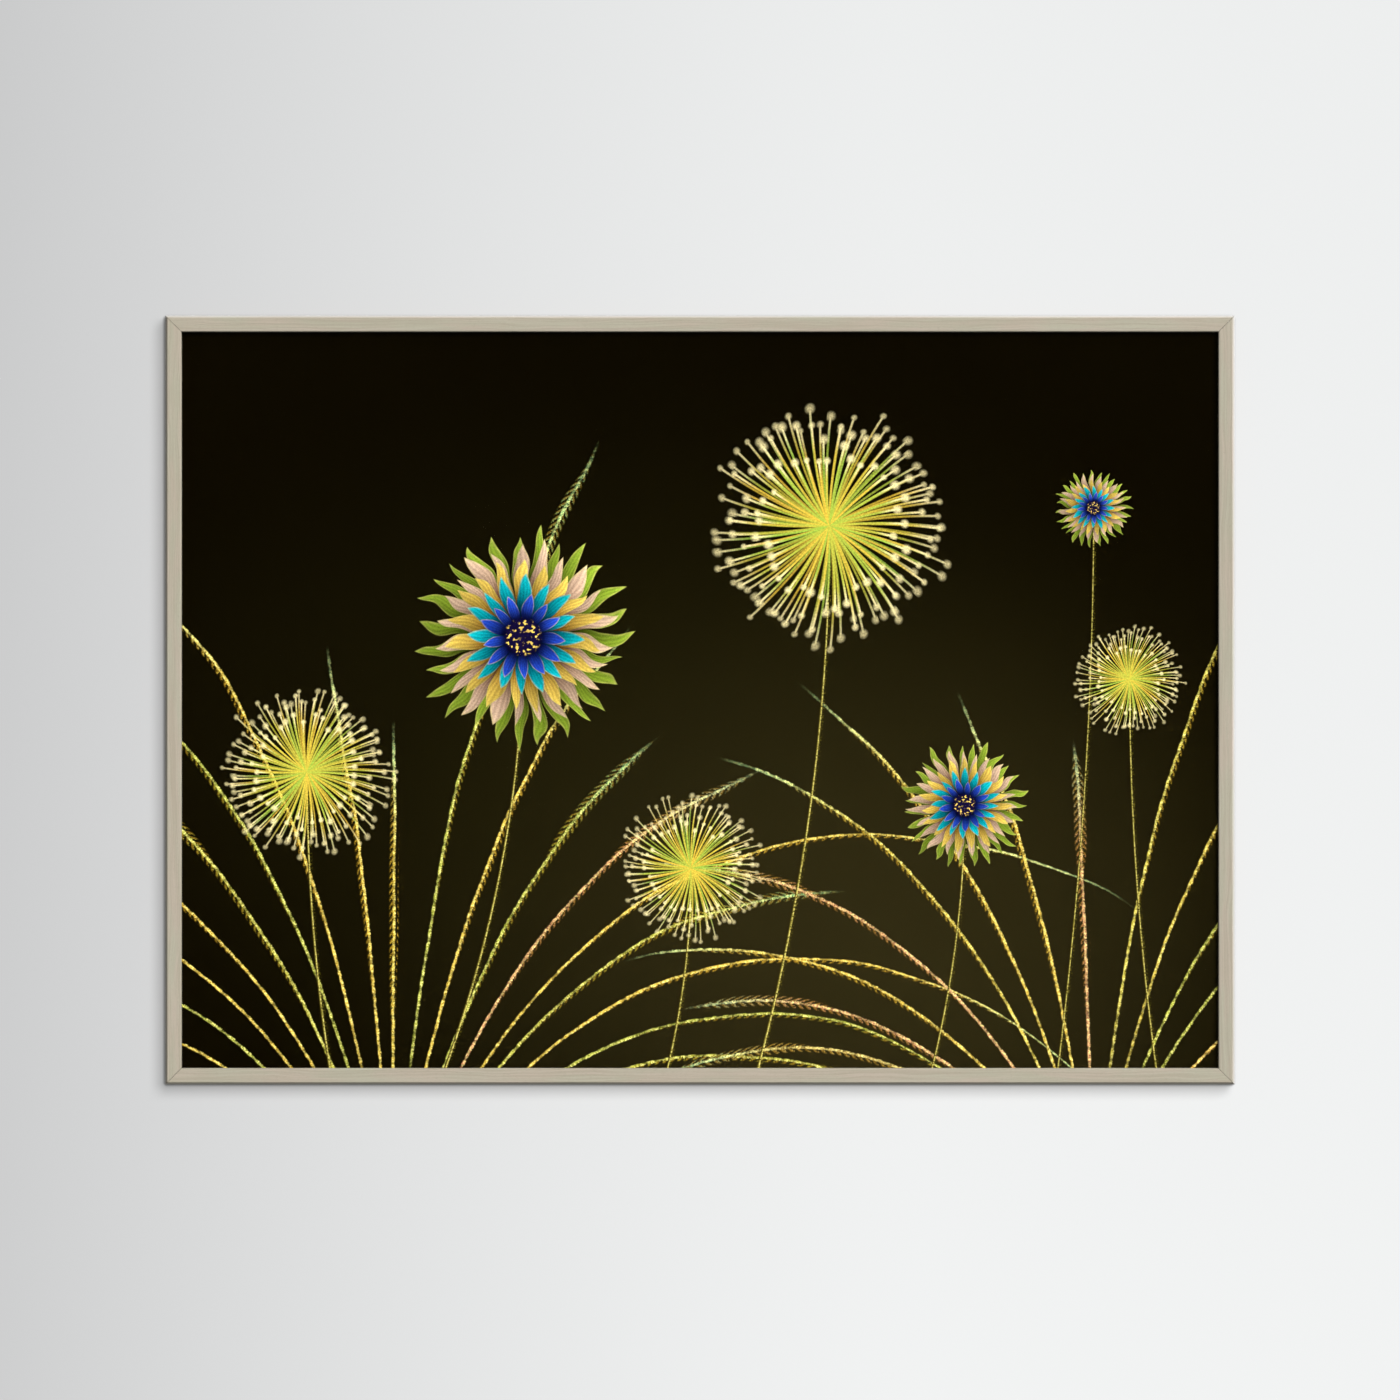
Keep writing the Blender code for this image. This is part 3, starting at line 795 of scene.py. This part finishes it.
def wall_finish():
    """White paint that glows a little, and is there only from its front, so backs can be seen."""
    wall = Finish("wall_paint")
    x, _, z = wall.split(wall.node("TexCoord", out="Object"))
    # Painted shade: the paint and its glow are darker to the left and a little darker upwards.
    dim = ((WALL_LIT_FROM - x) / WALL_FADE).most(0.0) ** WALL_FADE_BEND
    colour = wall.mix(dim, WALL_LIT, WALL_DIM)
    above = (z - middle.z).least(WALL_RISE).most(-WALL_RISE)
    colour = wall.tint(colour, 1 - above * WALL_RISE_LOSS)
    # Painted shadow: the wall is darker in a soft line round the frame, most to the left and below.
    past_x = (abs(x - PAINTED_SHADOW_MIDDLE[0]) - (PAINTED_SHADOW_SIZE[0] / 2 - PAINTED_SHADOW_CORNER)).most(0.0)
    past_z = (abs(z - PAINTED_SHADOW_MIDDLE[1]) - (PAINTED_SHADOW_SIZE[1] / 2 - PAINTED_SHADOW_CORNER)).most(0.0)
    beyond = (past_x * past_x + past_z * past_z) ** 0.5 - PAINTED_SHADOW_CORNER
    colour = wall.tint(colour, 1 - beyond.step(*PAINTED_SHADOW_BLUR) * PAINTED_SHADOW_DEPTH)
    wall.surface({"Base Color": wall.tint(colour, WALL_PAINT), "Specular IOR Level": 0.0})
    wall.surface({"Emission Color": colour, "Emission Strength": GLOWING})
    clear = wall.node("BsdfTransparent")
    behind = wall.node("NewGeometry", out="Backfacing")
    painted = Wire(wall, wall.shader.outputs[0])
    both = wall.node("MixShader", {}, {0: behind, 1: painted, 2: clear})
    wall.fill(wall.tree.nodes["Material Output"], {"Surface": both})
    return wall.material


def floor_finish():
    floor = Finish("floor_paint")
    floor.surface({"Base Color": FLOOR_COLOUR, "Roughness": 0.8, "Specular IOR Level": 0.2})
    return floor.material


def card_finish():
    card = Finish("dark_card")
    card.surface({"Base Color": (0.0, 0.0, 0.0, 1), "Roughness": 1.0, "Specular IOR Level": 0.0})
    return card.material


upright = Matrix.Rotation(math.radians(90), 4, "X")
wall_place = Matrix.Translation((0, cad_high.y, WALL_UP)) @ upright
wall = stage_plane("wall", WALL_SIZE, wall_place, wall_finish())
floor = stage_plane("floor", FLOOR_SIZE, Matrix.Translation((0, 0, FLOOR_UP)), floor_finish())
card_place = Matrix.Translation((0, CARD_Y, middle.z)) @ upright
card = stage_plane("card", CARD_SIZE, card_place, card_finish())
# Neither the wall nor the floor is reflected or throws light on the frame, and the card shows only
# in reflections and through the glass.
wall.visible_shadow = wall.visible_glossy = wall.visible_diffuse = False
floor.visible_glossy = floor.visible_diffuse = floor.visible_transmission = False
card.visible_camera = card.visible_diffuse = card.visible_shadow = False


def lamp(name, offset, size, power, colour=(1, 1, 1)):
    """A panel of light, this far from the centre and facing it."""
    light = bpy.data.lights.new(name, "AREA")
    light.shape = "RECTANGLE"
    light.size, light.size_y = size
    light.energy = power
    light.color = colour
    stand = bpy.data.objects.new(name, light)
    place = centre + Vector(offset)
    stand.location = place
    stand.rotation_euler = (centre - place).to_track_quat("-Z", "Y").to_euler()
    stand.visible_transmission = False  # so that it isn't seen through the glass
    bpy.context.scene.collection.objects.link(stand)
    return stand


def only_on(stand, *names):
    """Lets a lamp light these pieces alone."""
    lit = stand.light_linking.receiver_collection = bpy.data.collections.new("lit_by_" + stand.name)
    for name in names:
        lit.objects.link(bpy.data.objects[name])


lamp("key", KEY_OFFSET, KEY_SIZE, power=6000)
near_graze = lamp("near_graze", GRAZE_OFFSET, (0.12, 2.8), power=275, colour=COOL)
only_on(near_graze, "oak_top", "oak_right")
far_graze = lamp("far_graze", GRAZE_OFFSET, (2.8, 0.12), power=120)
only_on(far_graze, "oak_bottom", "oak_left")
print_light = lamp("print_light", KEY_OFFSET, KEY_SIZE, power=1900)
only_on(print_light, "print")
lamp("back_key", BACK_KEY_OFFSET, BACK_SIZE, power=60)
lamp("back_fill", BACK_FILL_OFFSET, BACK_SIZE, power=25)


class Sky(Finish):
    """The light from all round the stage, made as a finish is."""

    def __init__(self, name):
        self.world = bpy.data.worlds.new(name)
        self.world.use_nodes = True
        self.tree = self.world.node_tree
        self.shader = self.tree.nodes["Background"]


sky = Sky("studio")
mirrored = sky.mix(sky.node("LightPath", out="Is Glossy Ray"), AMBIENT, REFLECTED)
seen = sky.mix(sky.node("LightPath", out="Is Camera Ray"), mirrored, BACKDROP)
sky.surface({"Color": seen})
sky.world.cycles.sampling_method = "NONE"
bpy.context.scene.world = sky.world

camera = bpy.data.objects.new("camera", bpy.data.cameras.new("camera"))
bpy.context.scene.collection.objects.link(camera)
camera.data.lens = LENS
camera.data.sensor_width = SENSOR
camera.location = centre + Vector((0, -PIXEL * VIEW_PIXELS * LENS / SENSOR, 0))
camera.rotation_euler = (math.radians(90), 0, 0)
bpy.context.scene.camera = camera
bpy.context.scene.view_settings.view_transform = "Standard"
